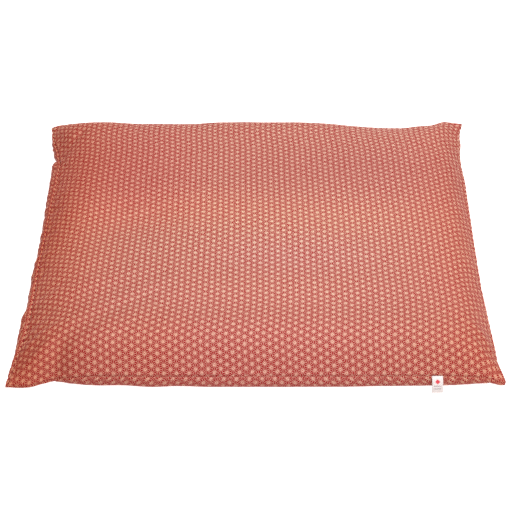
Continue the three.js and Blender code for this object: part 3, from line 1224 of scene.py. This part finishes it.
@dataclass
class Cover:
    """The filled cover: two panels of cloth, sewn round their edge and stuffed.

    Sizes are in millimetres.

    Args:
        corners: The seam's corners: near left, near right, far left and far right.
        near: The seam's side with the label.
        far: The side behind.
        left: The left side.
        right: The right side.
        panel: The flat panel's width and depth.
        centre: The footprint's centre.
        crown: The height of the crown.
        crown_fall: How much the crown loses for each millimetre away from the label.
        side_drop: How much it loses towards the left and right.
        rolls: How far in from the left, right, near and far side the crown is reached.
        belly_share: The share of the lower panel's curve where the belly is fullest.
        handle_height: How upright the lower panel's curve starts.
        curve_steps: How many places of that curve are worked out.
        cells: The upper panel's cells across and along.
        rim_steps: The first places beside the seam, which are close together.
        rings: How many rings of cells the lower panel has before its flat middle.
        middle_depth: What is added to the flat middle's distance from the seam.
        edge_fade: The distances from the seam between which gathers and waves set in.
        rest_fade: The heights between which they set in over the ground.
        contact: The height below which a point rests.
        slides: How often the resting part is let slide.
        lower_shift: Where the lower panel lies on the print.
        drift: How the print has slipped.
        gathers: The gathers along the seam.
        waves: The cloth's unevenness.
        seam_line: The seam's own relief.
        folds: The upper panel's dents and soft ridges.
        filling: The simulated wrinkles.
        finish: The cloth.
        seam_points: The seam's points in order, once the cover is built.
    """

    corners: tuple[Corner, Corner, Corner, Corner] = (NEAR_LEFT, NEAR_RIGHT, FAR_LEFT, FAR_RIGHT)
    near: Side = NEAR
    far: Side = FAR
    left: Side = LEFT
    right: Side = RIGHT
    panel: Pair = (800.0, 754.0)
    centre: Pair = (-0.4, 3.0)
    crown: float = 73.5
    crown_fall: float = 0.008
    side_drop: float = 4.0
    rolls: tuple[float, float, float, float] = (136.0, 104.0, 100.0, 84.0)
    belly_share: float = 0.4
    handle_height: float = 0.75
    curve_steps: int = 41
    cells: tuple[int, int] = (226, 214)
    rim_steps: tuple[float, ...] = (0.0, 0.7, 1.5, 2.4, 3.6, 5.2, 7.4, 10.2)
    rings: int = 22
    middle_depth: float = 20.0
    edge_fade: Pair = (-2.0, 6.0)
    rest_fade: Pair = (0.5, 9.0)
    contact: float = 0.01
    slides: int = 60
    lower_shift: Pair = (1000.0, 4.6)
    drift: Drift = Drift()
    gathers: Gathers = Gathers()
    waves: Waves = Waves()
    seam_line: SeamLine = SeamLine()
    folds: tuple[Fold, ...] = (
        Fold(-240, -292, 240, -284, 44, 3.0),
        Fold(-120, -16, 140, -22, 52, 2.0),
        Fold(-330, -330, -300, -290, 66, -5),
        Fold(-280, -40, -220, 40, 84, -6),
        Fold(-220, 40, -290, 250, 84, -6),
        Fold(20, 20, 110, 170, 80, 3),
        Fold(200, 120, 260, 210, 80, 3.5),
        Fold(-214, 334, -124, 336, 42, -5),
        Fold(-376, 262, -330, 312, 9, -7),
        Fold(-374, -262, -346, -240, 13, -6),
        Fold(-372, -322, -352, -304, 8, -4.5),
        Fold(-366, -286, -344, -276, 7, -3.5),
        Fold(-374, -175, -330, -168, 12, -4),
        Fold(-374, 10, -340, 18, 12, -3),
        Fold(-320, -362, -316, -318, 16, -5),
        Fold(190, 330, 284, 324, 50, -8),
    )
    filling: Filling = Filling()
    finish: PrintedCotton = PrintedCotton()
    seam_points: np.ndarray = field(init=False)

    def skin(self, s: np.ndarray, t: np.ndarray) -> np.ndarray:
        """Spans a surface between the seam's four sides.

        Args:
            s: Places from left to right, from 0 to 1.
            t: Places from near to far.

        Returns:
            The surface's point at each place.
        """
        nl, nr, fl, fr = (corner.point() for corner in self.corners)
        sc, tc = s[..., None], t[..., None]
        point = self.near.seam(s) * (1 - tc) + self.far.seam(s) * tc
        point = point + self.left.seam(t) * (1 - sc) + self.right.seam(t) * sc
        point = point - nl * (1 - sc) * (1 - tc) - nr * sc * (1 - tc)
        return point - fl * (1 - sc) * tc - fr * sc * tc

    def upper_points(self, s: np.ndarray, t: np.ndarray) -> np.ndarray:
        """Shapes the upper panel: at the sides it has the seam's height, and it rises to the crown.

        Args:
            s: Places from left to right, from 0 to 1.
            t: Places from near to far.

        Returns:
            The panel's point at each place.
        """
        point = self.skin(s, t)
        wide, deep = NEAR_RIGHT.x - NEAR_LEFT.x, FAR_LEFT.y - NEAR_LEFT.y
        slope = np.ones_like(s)
        away = (s * wide, (1 - s) * wide, t * deep, (1 - t) * deep)
        for distance, roll in zip(away, self.rolls):
            slope = slope * (1 - np.maximum(0.0, 1 - distance / roll) ** 3)
        top = self.crown - self.crown_fall * point[..., 1] - self.side_drop * (2 * s - 1) ** 2
        for fold in self.folds:
            top = top + fold.lift(point[..., 0], point[..., 1])
        point[..., 2] += (top - point[..., 2]) * slope
        return point

    def spacing(self, cells: int) -> np.ndarray:
        """Spaces the cells across a panel, close together beside the seams.

        Args:
            cells: How many there are.

        Returns:
            Where they start and end, from 0 to 1.
        """
        rim = np.array(self.rim_steps) / self.panel[0]
        inner = np.linspace(rim[-1], 1 - rim[-1], cells + 1 - 2 * (len(rim) - 1))
        return np.concatenate([rim[:-1], inner, 1 - rim[-2::-1]])

    def lengths(self, points: np.ndarray, axis: int) -> np.ndarray:
        """Measures along the cloth.

        Args:
            points: A grid of points.
            axis: The grid's axis to measure along.

        Returns:
            Each point's distance from its row's first one.
        """
        steps = np.linalg.norm(np.diff(points, axis=axis), axis=-1)
        run = np.cumsum(steps, axis=axis)
        return np.concatenate([np.zeros_like(np.take(run, [0], axis=axis)), run], axis=axis)

    def lower_ring(
        self, s: np.ndarray, t: np.ndarray, side: Side, share: np.ndarray, depth: float
    ) -> np.ndarray:
        """Shapes the lower panel at one distance from the seam, measured along the cloth.

        Args:
            s: Places round the rim, left to right.
            t: Places round the rim, near to far.
            side: The side that they lie on.
            share: Their shares along it.
            depth: The distance from the seam.

        Returns:
            The panel's point at each place.
        """
        _, up, belly, tuck = np.moveaxis(side.measures(share), -1, 0)
        fullest = belly + tuck * self.belly_share**3
        fullness = 3 * self.belly_share * (1 - self.belly_share)
        reach = np.where(belly > 0, fullest / fullness, 0.0)
        way = np.linspace(0.0, 1.0, self.curve_steps)[:, None]
        out = 3 * reach * way * (1 - way) - tuck * way**3
        high = up * ((1 - way) ** 3 + 3 * self.handle_height * way * (1 - way) ** 2)
        steps = np.hypot(np.diff(out, axis=0), np.diff(high, axis=0))
        run = np.concatenate([np.zeros((1, len(up))), np.cumsum(steps, axis=0)])
        ring_out, ring_up = (
            np.array([np.interp(depth, run[:, n], line[:, n]) for n in range(len(up))])
            for line in (out, high)
        )
        ring_out -= np.maximum(0.0, depth - run[-1])
        half = (NEAR_RIGHT.x - NEAR_LEFT.x) / 2
        grown = 1 + ring_out / half
        point = self.skin((1 + (2 * s - 1) * grown) / 2, (1 + (2 * t - 1) * grown) / 2)
        point[..., 2] = ring_up
        return point

    def rim_order(self, ring: int) -> list[Cell]:
        """The grid's places round one ring of cells, counterclockwise from the near left corner."""
        a, b, c, d = ring, self.cells[0] - ring, ring, self.cells[1] - ring
        return walk((a, c), (b, c), (b, d), (a, d), (a, c))[:-1]

    def assemble(self) -> Surface:
        """Builds both panels.

        Returns:
            One closed surface.
        """
        surface = Surface()
        across, along = self.spacing(self.cells[0]), self.spacing(self.cells[1])
        wide, deep = self.panel
        s, t = np.meshgrid(across, along)
        points = self.upper_points(s, t)
        u, v = self.lengths(points, 1), self.lengths(points, 0)
        flat = np.stack([u / u[:, -1:] * wide, v / v[-1:] * deep], axis=-1)
        print_at = self.drift.lay(
            u - u[:, self.cells[0] // 2, None], v - v[self.cells[1] // 2]
        )
        edges = (flat[..., 0], wide - flat[..., 0], flat[..., 1], deep - flat[..., 1])
        grid = surface.add(points, flat, print_at, np.minimum.reduce(edges))
        corners = (grid[:-1, :-1], grid[:-1, 1:], grid[1:, 1:], grid[1:, :-1])
        surface.add_quads(Panel.UPPER, *corners)
        self.lower_panel(surface, grid, across, along)
        return surface

    def lower_panel(
        self, surface: Surface, grid: np.ndarray, across: np.ndarray, along: np.ndarray
    ) -> None:
        """Adds the lower panel, ring by ring in from the seam, and then its flat middle.

        Args:
            surface: The surface that it is added to.
            grid: The upper panel's points' numbers.
            across: The cells' places from left to right.
            along: The cells' places from near to far.
        """
        nx, ny = self.cells
        before = np.array([grid[j, i] for i, j in self.rim_order(0)])
        for ring in range(1, self.rings + 1):
            order = self.rim_order(ring)
            index = np.array(order)
            column, row = index[:, 0], index[:, 1]
            fs = (across[column] - across[ring]) / (across[nx - ring] - across[ring])
            ft = (along[row] - along[ring]) / (along[ny - ring] - along[ring])
            depth = across[ring] * self.panel[0]
            place = np.zeros((len(order), 3))
            taken = np.zeros(len(order), bool)
            sides = (
                (row == ring, self.near, fs),
                (column == nx - ring, self.right, ft),
                (row == ny - ring, self.far, fs),
                (column == ring, self.left, ft),
            )
            for on, side, share in sides:
                on = on & ~taken
                taken |= on
                place[on] = self.lower_ring(fs[on], ft[on], side, share[on], depth)
            cloth = self.lower_cloth(fs, ft, depth)
            print_at = cloth - np.array(self.panel) / 2
            numbers = surface.add(place, cloth, print_at, np.full(len(order), depth))
            self.join_rings(surface, ring, before, numbers)
            before = numbers
        self.flat_middle(surface, before, across, along)

    def lower_cloth(self, fs: np.ndarray, ft: np.ndarray, depth: float) -> np.ndarray:
        """The lower panel's flat places inside a frame that is so far from the seam."""
        wide, deep = self.panel
        return np.stack([depth + (wide - 2 * depth) * fs, depth + (deep - 2 * depth) * ft], -1)

    def join_rings(
        self, surface: Surface, ring: int, outer: np.ndarray, inner: np.ndarray
    ) -> None:
        """Adds the faces between two rings of the lower panel.

        Args:
            surface: The surface that they are added to.
            ring: The inner ring's number.
            outer: The numbers of the outer ring's points.
            inner: The numbers of the inner ring's points.
        """
        number = dict(zip(self.rim_order(ring - 1), outer.tolist()))
        number |= dict(zip(self.rim_order(ring), inner.tolist()))
        left = near = ring - 1
        right, far = self.cells[0] - left, self.cells[1] - near
        cells = [(i, near) for i in range(left, right)] + [(i, far - 1) for i in range(left, right)]
        for column in (left, right - 1):
            cells += [(column, j) for j in range(near + 1, far - 1)]
        faces = [((i, j), (i, j + 1), (i + 1, j + 1), (i + 1, j)) for i, j in cells]
        surface.add_faces(Panel.LOWER, [tuple(number[cell] for cell in face) for face in faces])

    def flat_middle(
        self, surface: Surface, rim: np.ndarray, across: np.ndarray, along: np.ndarray
    ) -> None:
        """Adds the part that rests, in cells of twice the size.

        Args:
            surface: The surface that it is added to.
            rim: The numbers of the last ring's points.
            across: The cells' places from left to right.
            along: The cells' places from near to far.
        """
        m, (nx, ny) = self.rings, self.cells
        order = self.rim_order(m)
        at = dict(zip(order, surface.points[-1]))
        xs, ys = np.arange(m + 2, nx - m - 1, 2), np.arange(m + 2, ny - m - 1, 2)
        fs = (across[xs] - across[m]) / (across[nx - m] - across[m])
        ft = (along[ys] - along[m]) / (along[ny - m] - along[m])
        ss, tt = np.meshgrid(fs, ft)
        s, t = ss[..., None], tt[..., None]
        near, far = (np.array([at[(x, j)] for x in xs.tolist()])[None] for j in (m, ny - m))
        left, right = (np.array([at[(i, y)] for y in ys.tolist()])[:, None] for i in (m, nx - m))
        place = near * (1 - t) + far * t + left * (1 - s) + right * s
        place = place - at[(m, m)] * (1 - s) * (1 - t) - at[(nx - m, m)] * s * (1 - t)
        place = place - at[(m, ny - m)] * (1 - s) * t - at[(nx - m, ny - m)] * s * t
        place[..., 2] = 0.0
        depth = across[m] * self.panel[0]
        cloth = self.lower_cloth(ss, tt, depth)
        print_at = cloth - np.array(self.panel) / 2
        numbers = surface.add(place, cloth, print_at, np.full(ss.shape, depth + self.middle_depth))
        corners = (numbers[:-1, :-1], numbers[1:, :-1], numbers[1:, 1:], numbers[:-1, 1:])
        surface.add_quads(Panel.LOWER, *corners)
        places = [(x, y) for y in ys.tolist() for x in xs.tolist()]
        coarse = dict(zip(places, numbers.ravel().tolist()))
        self.joining_row(surface, dict(zip(order, rim.tolist())), coarse)

    def joining_row(
        self, surface: Surface, edge: dict[Cell, int], coarse: dict[Cell, int]
    ) -> None:
        """Adds the row that joins the fine ring to the coarse middle, and a fan at each corner.

        Args:
            surface: The surface that it is added to.
            edge: The numbers of the fine ring's points, by their places in the grid.
            coarse: The numbers of the coarse middle's points.
        """
        (left, near), (right, far) = min(edge), max(edge)
        (x0, y0), (x1, y1) = min(coarse), max(coarse)
        hubs = ((x0, y0), (x1, y0), (x1, y1), (x0, y1))
        bends = (
            ((left, y0), (left, near), (x0, near)),
            ((x1, near), (right, near), (right, y0)),
            ((right, y1), (right, far), (x1, far)),
            ((x0, far), (left, far), (left, y1)),
        )
        faces: list[Face] = []
        for n in range(4):
            m = (n + 1) % 4
            outer = [edge[cell] for cell in walk(bends[n][2], bends[m][0])]
            inner = [coarse[cell] for cell in walk(hubs[n], hubs[m])[::2]]
            for a, b, c, d, e in zip(outer[::2], outer[1::2], outer[2::2], inner, inner[1:]):
                faces += [(a, d, b), (b, d, e), (b, e, c)]
        for hub, bend in zip(hubs, bends):
            outer = [edge[cell] for cell in walk(*bend)]
            faces += [(one, coarse[hub], two) for one, two in zip(outer, outer[1:])]
        surface.add_faces(Panel.LOWER, faces)

    def relief(
        self, points: np.ndarray, flat: np.ndarray, depth: np.ndarray, upper: np.ndarray
    ) -> np.ndarray:
        """Works out the cloth's relief: gathers, soft waves, and the seam's groove and lips.

        Args:
            points: The cover's points.
            flat: Their places on the flat panel.
            depth: Their distances from the seam.
            upper: Whether they are on the upper panel.

        Returns:
            How far each point moves along its normal.
        """
        lift = self.gathers.lift(flat[:, 0], flat[:, 1], self.panel)
        lift += self.waves.lift(flat, depth, upper)
        seam = self.seam_line.lift(flat, depth, self.panel)
        lift = lift * ease(depth, *self.edge_fade) + seam
        return np.where(upper, lift, lift * ease(points[:, 2], *self.rest_fade))

    def settle(
        self, points: np.ndarray, flat: np.ndarray, faces: Sequence[Face], held: np.ndarray
    ) -> None:
        """Lets the part that rests slide on the ground until its cells have the cloth's size.

        Args:
            points: The points, which are moved in place.
            flat: Their places on the flat panel.
            faces: The faces.
            held: Which points stay where they are.
        """
        loose = np.flatnonzero(~held)
        pairs = np.array([(f[n], f[n - 1]) for f in faces for n in range(len(f))])
        pairs = np.concatenate([pairs, pairs[:, ::-1]])
        pairs = pairs[~held[pairs[:, 0]]]
        count = np.bincount(pairs[:, 0], minlength=len(points))[loose]
        apart = flat[pairs[:, 0]] - flat[pairs[:, 1]]
        for _ in range(self.slides):
            for n in (0, 1):
                wanted = points[pairs[:, 1], n] + apart[:, n]
                points[loose, n] = np.bincount(pairs[:, 0], wanted, len(points))[loose] / count

    def normals(self, points: np.ndarray, faces: Sequence[Face]) -> np.ndarray:
        """Finds each point's outward direction.

        Args:
            points: The points.
            faces: The faces, of three or four corners.

        Returns:
            The mean of the directions of the faces round each point.
        """
        total = np.zeros_like(points)
        for size in (3, 4):
            chosen = np.array([f for f in faces if len(f) == size])
            corners = points[chosen]
            first, last = corners[:, size - 2], corners[:, size - 1]
            face = np.cross(first - corners[:, 0], last - corners[:, size - 3])
            face /= np.maximum(np.linalg.norm(face, axis=1, keepdims=True), TINY)
            for n in range(size):
                np.add.at(total, chosen[:, n], face)
        return total / np.maximum(np.linalg.norm(total, axis=1, keepdims=True), TINY)

    def build(self) -> bpy.types.Object:
        """Makes the cover.

        Returns:
            The finished cover.
        """
        surface = self.assemble()
        points, flat = np.concatenate(surface.points), np.concatenate(surface.flat)
        depth = np.concatenate(surface.depth)
        grid = (self.cells[1] + 1, self.cells[0] + 1)
        rim = grid[0] * grid[1]
        upper = np.arange(len(points)) < rim
        lift = self.relief(points, flat, depth, upper)
        drawn, cut = points[:rim].reshape(*grid, 3), flat[:rim].reshape(*grid, 2)
        wrinkles = self.filling.wrinkles(drawn, cut)
        lift[:rim] += wrinkles.ravel() * ease(depth[:rim], *self.filling.margin)
        points = points + self.normals(points, surface.faces) * lift[:, None]
        points[:, 2] = np.maximum(points[:, 2], 0.0)
        self.settle(points, flat, surface.faces, upper | (points[:, 2] > self.contact))
        self.seam_points = points[[j * grid[1] + i for i, j in self.rim_order(0)]]
        mesh = shape("cover", points - np.array([*self.centre, 0.0]), surface.faces)
        mesh.shade_smooth()
        sizes = [len(face) for face in surface.faces]
        lower = np.repeat([panel is Panel.LOWER for panel in surface.panels], sizes)
        shift = np.where(lower[:, None], np.array(self.lower_shift), 0.0)
        lay_map(mesh, np.concatenate(surface.print_at), shift, MM)
        mesh.materials.append(self.finish.material())
        return put("cushion_cover", mesh)


@dataclass
class SeamStitches:
    """The thread that shows in the seam, stitch by stitch, along its whole length.

    Args:
        pitch: Millimetres from one stitch to the next.
        stitch: A stitch's length.
        thickness: The thread's thickness.
        sink: How far the thread lies below the seam's line.
        segments: The sides that a stitch has round it.
        rings: The rows of faces that it has along it.
        finish: The thread.
    """

    pitch: float = 3.4
    stitch: float = 2.3
    thickness: float = 0.5
    sink: float = 0.1
    segments: int = 6
    rings: int = 4
    finish: SewingThread = SewingThread()

    def build(self, path: np.ndarray, centre: Pair) -> bpy.types.Object:
        """Sews along a path.

        Args:
            path: The seam's points in order, in millimetres.
            centre: The footprint's centre.

        Returns:
            The stitches as one mesh.
        """
        count = len(path)
        edges = [(n, (n + 1) % count) for n in range(count)]
        line = put("seam_line", shape("seam", path - np.array([*centre, self.sink]), [], edges))
        modifier = line.modifiers.new("stitches", "NODES")
        modifier.node_group = self.tree()
        sizes = {"Pitch": self.pitch, "Stitch": self.stitch, "Thickness": self.thickness}
        for item in modifier.node_group.interface.items_tree:
            if item.item_type == "SOCKET" and item.name in sizes:
                modifier[item.identifier] = sizes[item.name] * MM
        graph = bpy.context.evaluated_depsgraph_get()
        sewn = bpy.data.meshes.new_from_object(line.evaluated_get(graph))
        bpy.data.objects.remove(line)
        return put("seam_stitches", sewn)

    def tree(self) -> bpy.types.NodeTree:
        """Builds the node tree: a stitch on every step of the line, turned along it.

        Returns:
            The tree, with the stitches' sizes as named inputs.
        """
        tree = bpy.data.node_groups.new("seam_stitches", "GeometryNodeTree")
        tree.interface.new_socket("Geometry", in_out="INPUT", socket_type="NodeSocketGeometry")
        for name in ("Pitch", "Stitch", "Thickness"):
            tree.interface.new_socket(name, in_out="INPUT", socket_type="NodeSocketFloat")
        tree.interface.new_socket("Geometry", in_out="OUTPUT", socket_type="NodeSocketGeometry")
        given, result, curve, steps, tangent, turn, bead, scale, sewn, real, dress, smooth = (
            tree.nodes.new(kind)
            for kind in (
                "NodeGroupInput",
                "NodeGroupOutput",
                "GeometryNodeMeshToCurve",
                "GeometryNodeResampleCurve",
                "GeometryNodeInputTangent",
                "FunctionNodeAlignRotationToVector",
                "GeometryNodeMeshUVSphere",
                "ShaderNodeCombineXYZ",
                "GeometryNodeInstanceOnPoints",
                "GeometryNodeRealizeInstances",
                "GeometryNodeSetMaterial",
                "GeometryNodeSetShadeSmooth",
            )
        )
        steps.mode, turn.axis = "LENGTH", "X"
        bead.inputs["Segments"].default_value = self.segments
        bead.inputs["Rings"].default_value = self.rings
        bead.inputs["Radius"].default_value = 0.5
        dress.inputs["Material"].default_value = self.finish.material()
        for source, out, target, into in (
            (given, "Geometry", curve, "Mesh"),
            (curve, "Curve", steps, "Curve"),
            (given, "Pitch", steps, "Length"),
            (steps, "Curve", sewn, "Points"),
            (bead, "Mesh", sewn, "Instance"),
            (tangent, "Tangent", turn, "Vector"),
            (turn, "Rotation", sewn, "Rotation"),
            (given, "Stitch", scale, "X"),
            (given, "Thickness", scale, "Y"),
            (given, "Thickness", scale, "Z"),
            (scale, "Vector", sewn, "Scale"),
            (sewn, "Instances", real, "Geometry"),
            (real, "Geometry", smooth, "Geometry"),
            (smooth, "Geometry", dress, "Geometry"),
            (dress, "Geometry", result, "Geometry"),
        ):
            tree.links.new(source.outputs[out], target.inputs[into])
        return tree


@dataclass
class TapeLabel:
    """The folded tape caught in the near seam: two layers that hang to a fold.

    Sizes are in millimetres.

    Args:
        width: The tape's width.
        x: Where its middle is caught, to the right.
        slant: How far its fold hangs to the right of that.
        line: The line that it hangs on, as distance out from the seam and height.
        hang: The share of that line where the fold starts.
        gap: Half the distance between the two layers.
        pinch: What is left of the gap at the seam, as a share.
        opening: The shares of the line between which the layers part.
        fold_steps: How many steps the fold is worked out in, with both ends.
        fold_reach: How far the fold stands out, as a share of half the gap.
        curl: How far the sides bend forward at the fold.
        ripple: How high the fold's ripple is.
        ripple_turn: How far the ripple turns across the tape, in radians.
        cloth: The tape's thickness.
        steps: The steps down each layer.
        across: The steps across.
        finish: The tape's finish.
    """

    width: float = 17.6
    x: float = 289.3
    slant: float = 0.6
    line: tuple[Pair, ...] = ((0.8, 27.4), (3.4, 26.2), (8.6, 20.4), (11.8, 12), (13.8, 3.4))
    hang: float = 0.97
    gap: float = 0.42
    pinch: float = 0.35
    opening: Pair = (0.0, 0.5)
    fold_steps: int = 8
    fold_reach: float = 1.1
    curl: float = 0.35
    ripple: float = 0.25
    ripple_turn: float = 5.0
    cloth: float = 0.3
    steps: int = 34
    across: int = 12
    finish: SatinTape = SatinTape()

    def middle(self, share: np.ndarray) -> np.ndarray:
        """Smooths the line that the label hangs on.

        Args:
            share: Places down the line, from 0 to 1.

        Returns:
            The distance out and the height at each place.
        """
        line = np.array(self.line)
        run = run_along(line)
        fit = [np.polynomial.Polynomial.fit(run / run[-1], line[:, n], 3) for n in (0, 1)]
        return np.stack([fit[0](share), fit[1](share)], axis=-1)

    def profile(self) -> np.ndarray:
        """Draws the two layers and their fold as one line.

        Returns:
            Its points from the seam down the front, round the fold and back up, as distance out
            and height.
        """
        share = np.linspace(0.0, self.hang, self.steps)
        middle = self.middle(share)
        slope = np.gradient(middle, axis=0)
        slope /= np.linalg.norm(slope, axis=1, keepdims=True)
        side = np.stack([-slope[:, 1], slope[:, 0]], axis=1)
        spread = self.pinch + (1 - self.pinch) * ease(share, *self.opening)
        spread = self.gap * spread[:, None]
        front, back = middle + side * spread, middle - side * spread
        tip = (front[-1] + back[-1]) / 2
        turn = np.linspace(0, math.pi, self.fold_steps)[1:-1, None]
        bend = tip + (front[-1] - tip) * np.cos(turn)
        bend = bend + slope[-1] * self.gap * self.fold_reach * np.sin(turn)
        return np.concatenate([front, bend, back[::-1]])

    def build(self, near: Side, centre: Pair) -> bpy.types.Object:
        """Makes the tape.

        Args:
            near: The seam's side that it is caught in.
            centre: The footprint's centre.

        Returns:
            The label.
        """
        caught = (self.x - NEAR_LEFT.x) / (NEAR_RIGHT.x - NEAR_LEFT.x)
        seam_y = float(near.seam(np.array([caught]))[0, 1])
        profile = self.profile()
        run = run_along(profile)
        front_run = run[self.steps - 1]
        column, down = np.meshgrid(np.linspace(-0.5, 0.5, self.across + 1), run)
        lean = np.minimum(down, run[-1] - down) / front_run
        x = self.x + column * self.width + self.slant * lean - centre[0]
        y = seam_y - profile[:, :1] - self.curl * (2 * column) ** 2 * lean - centre[1]
        z = profile[:, 1:] + self.ripple * np.sin(self.ripple_turn * column) * lean
        number = np.arange(column.size).reshape(column.shape)
        corners = (number[:-1, :-1], number[1:, :-1], number[1:, 1:], number[:-1, 1:])
        faces = np.stack(corners, axis=-1).reshape(-1, 4).tolist()
        mesh = shape("label", np.stack([x, y, z], axis=-1).reshape(-1, 3), faces)
        mesh.shade_smooth()
        lay_map(mesh, np.stack([column + 0.5, down / front_run], axis=-1).reshape(-1, 2))
        mesh.materials.append(self.finish.material())
        label = put("tape_label", mesh)
        wall = label.modifiers.new("cloth", "SOLIDIFY")
        wall.thickness, wall.offset = self.cloth * MM, 0.0
        return label

    def flat_size(self) -> Pair:
        """The tape's cut, in metres."""
        return self.width * MM, 2 * float(run_along(np.array(self.line))[-1]) * MM


# The studio


@dataclass(frozen=True)
class Lamp:
    """A soft light that points at the cushion.

    Args:
        name: Its name.
        azimuth: Its direction in degrees, clockwise from the far side as seen from above.
        elevation: Its height in degrees above the floor.
        power: Its watts.
        distance: How far it stands from the cushion's middle, in metres.
        size: The length of its sides.
    """

    name: str
    azimuth: float
    elevation: float
    power: float
    distance: float = 2.6
    size: float = 1.2

    def build(self) -> None:
        """Sets the light up."""
        light = bpy.data.lights.new(self.name, "AREA")
        light.shape, light.size, light.energy = "SQUARE", self.size, self.power
        lamp = put(self.name, light)
        turn, rise = math.radians(self.azimuth), math.radians(self.elevation)
        level, up = self.distance * math.cos(rise), self.distance * math.sin(rise)
        lamp.location = (level * math.sin(turn), level * math.cos(turn), up)
        lamp.rotation_euler = (math.pi / 2 - rise, 0.0, math.pi - turn)


@dataclass
class Studio:
    """A pale floor, soft lights and the camera.

    Args:
        lens: The camera's focal length, in millimetres as the next one is.
        sensor: The width of its sensor.
        eye: Where it stands, in metres.
        tilt: How far it is turned up from looking straight down, in degrees.
        soften: The width of the picture's pixel filter.
        floor_size: The length of the floor's sides.
        floor: The floor's colour.
        floor_glow: The light that it gives off, so that it stays pale.
        floor_roughness: Its roughness.
        floor_gloss: The strength of its gloss.
        surround: The colour of the light from all round.
        surround_power: Its strength.
        lamps: The lights.
    """

    lens: float = 121.22
    sensor: float = 36.0
    eye: Point = (0.0004, -2.4661, 1.8164)
    tilt: float = 53.5
    soften: float = 1.5
    floor_size: float = 400.0
    floor: Colour = (0.86, 0.86, 0.86)
    floor_glow: Colour = (1.0, 1.0, 1.0)
    floor_roughness: float = 0.9
    floor_gloss: float = 0.1
    surround: Colour = (1.0, 0.6, 0.5)
    surround_power: float = 0.443
    lamps: tuple[Lamp, ...] = (
        Lamp("key", 150, 68, 30.0),
        Lamp("top", 20, 80, 24.0),
        Lamp("front", 165, 5, 29.5),
        Lamp("back", 20, 40, 13.6),
    )

    def build(self) -> None:
        """Sets the floor, the lights, the world and the camera."""
        self.lay_floor()
        for lamp in self.lamps:
            lamp.build()
        scene = bpy.context.scene
        scene.world = bpy.data.worlds.new("studio")
        scene.world.use_nodes = True
        back = scene.world.node_tree.nodes["Background"]
        back.inputs["Color"].default_value = (*self.surround, 1.0)
        back.inputs["Strength"].default_value = self.surround_power
        scene.view_settings.view_transform = "Standard"
        scene.cycles.use_denoising = False
        scene.cycles.filter_width = self.soften
        self.camera()

    def lay_floor(self) -> None:
        """Lays the floor."""
        half = self.floor_size / 2
        corners = [(-half, -half, 0), (half, -half, 0), (half, half, 0), (-half, half, 0)]
        mesh = bpy.data.meshes.new("floor")
        mesh.from_pydata(corners, [], [(0, 1, 2, 3)])
        finish = Loom("pale_floor").shader(
            Base_Color=self.floor,
            Roughness=self.floor_roughness,
            Specular_IOR_Level=self.floor_gloss,
            Emission_Color=self.floor_glow,
            Emission_Strength=1.0,
        )
        mesh.materials.append(finish)
        floor = put("floor", mesh)
        floor.visible_diffuse = False

    def camera(self) -> None:
        """Sets the camera up at the photograph's angle."""
        view = bpy.data.cameras.new("camera")
        view.lens, view.sensor_width = self.lens, self.sensor
        camera = put("camera", view)
        camera.location = self.eye
        camera.rotation_euler = (math.radians(self.tilt), 0.0, 0.0)
        bpy.context.scene.camera = camera


def main() -> None:
    """Builds the cushion's pieces in order, then the studio."""
    logging.basicConfig(level=logging.INFO, format="%(message)s")
    cover = Cover()
    cushion = cover.build()
    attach(cushion, BODY)
    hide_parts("cushion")
    LOG.info("cover: %d faces", len(cushion.data.polygons))
    stitches = SeamStitches().build(cover.seam_points, cover.centre)
    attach(stitches, BODY)
    LOG.info("stitches: %d faces", len(stitches.data.polygons))
    tape = TapeLabel()
    label = tape.build(cover.near, cover.centre)
    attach(label, BODY)
    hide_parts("label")
    tape.flat_size()
    LOG.info("label: %d faces", len(label.data.polygons))
    Studio().build()


if __name__ == "__main__":
    main()
